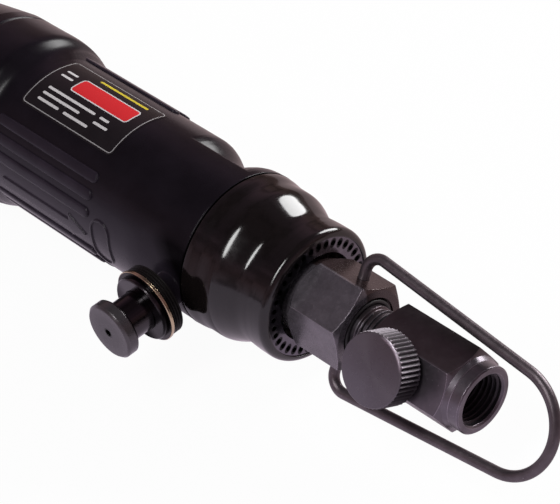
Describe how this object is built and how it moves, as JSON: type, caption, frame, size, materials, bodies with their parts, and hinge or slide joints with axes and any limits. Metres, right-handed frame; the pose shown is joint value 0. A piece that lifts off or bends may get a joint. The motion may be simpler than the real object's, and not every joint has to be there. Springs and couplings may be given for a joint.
{
  "type": "air screwdriver",
  "caption": "Straight reversible air screwdriver with push start, side reverse button, hexagon inlet with flow regulator, wire hanger, rear exhaust cap and quick-change bit chuck.",
  "frame": {"origin": "centre of the air inlet's mouth, on the tool's axis", "axes": "+X forward along the axis to the bit, +Z the top of the grip, +Y the side of the reverse button"},
  "size_m": [0.265, 0.0646, 0.048],
  "materials": {
    "body_paint": "satin black coating with a faint violet cast",
    "cap_gloss": "polished black",
    "exhaust_satin": "satin dark grey",
    "felt": "pressed felt",
    "dark_steel": "black oxide, satin",
    "bronze": "plain bronze",
    "rubber": "matt black",
    "steel": "ground steel",
    "seat_alloy": "turned",
    "vane_fibre": "fibre laminate"
  },
  "bodies": {
    "body": {"motor_housing": "body_paint", "rear_cap": "cap_gloss", "exhaust_ring": "exhaust_satin", "muffler": "felt", "inlet_bushing": "dark_steel", "inlet_oring": "rubber", "inlet_screen": "bronze", "regulator_body": "dark_steel", "regulator_oring": "rubber", "reverse_collar": "dark_steel", "reverse_washer": "bronze", "reverse_flange": "dark_steel", "throttle_seat": "seat_alloy", "rear_end_plate": "steel", "front_end_plate": "steel", "motor_cylinder": "steel", "cylinder_dowel": "steel", "rear_bearing_outer": "steel", "front_bearing_outer": "steel", "hammer_case": "body_paint", "case_oring": "rubber", "nose_bushing": "bronze", "nose_seal": "rubber", "throttle_spring": "steel"},
    "rotor_set": {"rotor": "steel", "vanes": "vane_fibre", "rear_bearing_inner": "steel", "rear_bearing_balls": "steel", "front_bearing_inner": "steel", "front_bearing_balls": "steel", "hammer_cage": "steel", "hammers": "steel", "hammer_pins": "steel"},
    "push_set": {"push_rod": "steel", "throttle_valve": "steel", "thrust_button": "steel"},
    "spindle": {"anvil": "steel", "bit_ball": "steel", "collar_clip": "dark_steel", "sleeve_spring": "steel"},
    "chuck_collar": {"bit_sleeve": "dark_steel"},
    "reverse_valve": {"reverse_spool": "dark_steel", "spool_orings": "rubber", "spool_end": "dark_steel"},
    "flow_knob": {"regulator_knob": "dark_steel", "knob_oring": "rubber", "knob_clip": "dark_steel"},
    "hanger": {"hanger_bail": "dark_steel"}
  },
  "joints": [
    {"name": "rotor_spin", "type": "hinge", "parent": "body", "child": "rotor_set", "pos_m": [0.13, 0, 0], "axis": [1, 0, 0], "continuous": true},
    {"name": "spindle_push", "type": "slide", "parent": "body", "child": "push_set", "axis": [-1, 0, 0], "range_m": [0, 0.0025], "stiffness_N_per_m": 1500, "springref_m": -0.002, "deforming": ["throttle_spring"]},
    {"name": "spindle_spin", "type": "hinge", "parent": "push_set", "child": "spindle", "pos_m": [0.2, 0, 0], "axis": [1, 0, 0], "continuous": true},
    {"name": "collar_slide", "type": "slide", "parent": "spindle", "child": "chuck_collar", "axis": [1, 0, 0], "range_m": [0, 0.004], "stiffness_N_per_m": 900, "springref_m": -0.003, "deforming": ["sleeve_spring"]},
    {"name": "reverse_press", "type": "slide", "parent": "body", "child": "reverse_valve", "axis": [0, -1, 0], "range_m": [0, 0.004]},
    {"name": "flow_turn", "type": "hinge", "parent": "body", "child": "flow_knob", "pos_m": [0.0199, 0.01239, 0.00715], "axis": [0, 0.866, 0.5], "continuous": true},
    {"name": "hanger_swing", "type": "hinge", "parent": "body", "child": "hanger", "pos_m": [0.0422, 0, 0], "axis": [0, -0.5, 0.866], "range_deg": [-100, 100]}
  ],
  "couplings": [
    {"joint": "spindle_spin", "follows": "rotor_spin", "ratio": 1}
  ]
}
